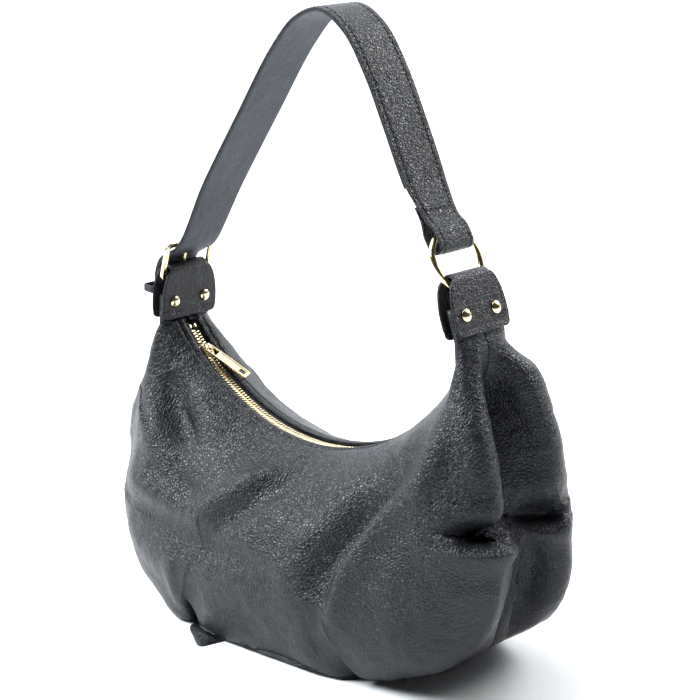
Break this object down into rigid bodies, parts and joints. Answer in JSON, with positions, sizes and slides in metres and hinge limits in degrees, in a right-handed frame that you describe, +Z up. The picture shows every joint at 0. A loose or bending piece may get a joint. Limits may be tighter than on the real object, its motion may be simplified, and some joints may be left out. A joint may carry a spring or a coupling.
{
  "type": "hobo bag",
  "caption": "Slouchy leather shoulder bag with a curved metal zip, riveted tabs on both peaks, a round ring, a buckle and one short shoulder strap.",
  "frame": {"origin": "centre of the base's underside, below the middle of the zip", "axes": "+X along the bag towards the ring, +Y from the front panel to the back panel, +Z up"},
  "size_m": [0.39, 0.1726, 0.4602],
  "materials": {
    "leather": "pebbled, satin",
    "strap_leather": "fine grain, satin",
    "lining_cloth": "plain twill",
    "zip_tape": "woven tape",
    "gold_metal": "polished, pale gold plate"
  },
  "bodies": {
    "bag": {"front_panel": "leather", "back_panel": "leather", "base_panel": "leather", "lining": "lining_cloth", "slip_pocket": "lining_cloth", "zip_tape_front": "zip_tape", "zip_tape_back": "zip_tape", "zip_teeth_front": "gold_metal", "zip_teeth_back": "gold_metal", "zip_top_stop_front": "gold_metal", "zip_top_stop_back": "gold_metal", "zip_bottom_stop": "gold_metal", "left_tab": "strap_leather", "right_tab": "strap_leather", "left_rivet_front": "gold_metal", "left_rivet_back": "gold_metal", "right_rivet_front": "gold_metal", "right_rivet_back": "gold_metal", "strap_keeper": "strap_leather"},
    "slider": {"zip_slider": "gold_metal"},
    "pull": {"zip_pull": "gold_metal"},
    "strap": {"strap_outer": "strap_leather", "strap_inner": "strap_leather", "buckle_frame": "gold_metal", "o_ring": "gold_metal"},
    "prong": {"buckle_prong": "gold_metal"}
  },
  "joints": [
    {"name": "zip_slide", "type": "hinge", "parent": "bag", "child": "slider", "pos_m": [-0.003, 0, 0.318], "axis": [0, -1, 0], "range_deg": [-4, 85]},
    {"name": "pull_swing", "type": "hinge", "parent": "slider", "child": "pull", "pos_m": [-0.12682, 0, 0.19632], "axis": [0.2397, -0.9397, -0.2439], "range_deg": [0, 110]},
    {"name": "strap_sway", "type": "hinge", "parent": "bag", "child": "strap", "pos_m": [-0.14966, 0, 0.25183], "axis": [0.9891, 0, 0.147], "range_deg": [-6, 6]},
    {"name": "prong_lift", "type": "hinge", "parent": "strap", "child": "prong", "pos_m": [-0.14966, 0, 0.25183], "axis": [0, -1, 0], "range_deg": [0, 8]}
  ]
}
